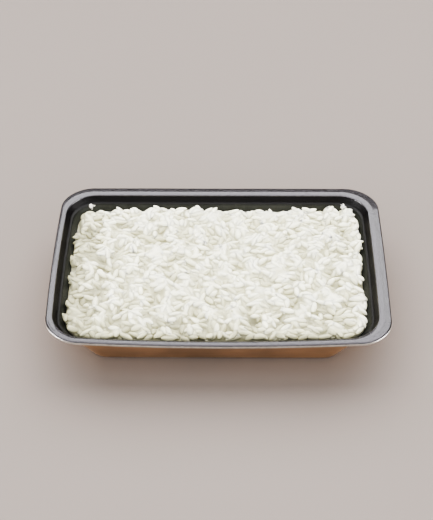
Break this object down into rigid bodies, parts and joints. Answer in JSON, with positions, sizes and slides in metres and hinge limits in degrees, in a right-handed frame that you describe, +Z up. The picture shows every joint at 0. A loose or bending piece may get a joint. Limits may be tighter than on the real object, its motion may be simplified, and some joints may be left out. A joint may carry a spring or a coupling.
{
  "type": "foil tray of boiled rice",
  "caption": "Shallow rectangular foil takeaway tray with a rolled rim and a lid step, filled level with boiled white rice.",
  "frame": {"origin": "middle of the tray over its bead and bulges, on the flat of its base", "axes": "+X along the long sides, +Y from the front long side, which bulges, to the back one, +Z up out of the tray"},
  "size_m": [0.172, 0.1234, 0.032],
  "materials": {
    "foil": "lacquered, black inside and over the rim, gold-brown outside",
    "rice": null
  },
  "bodies": {
    "root": {"tray": "foil", "rice": "rice"}
  },
  "joints": []
}
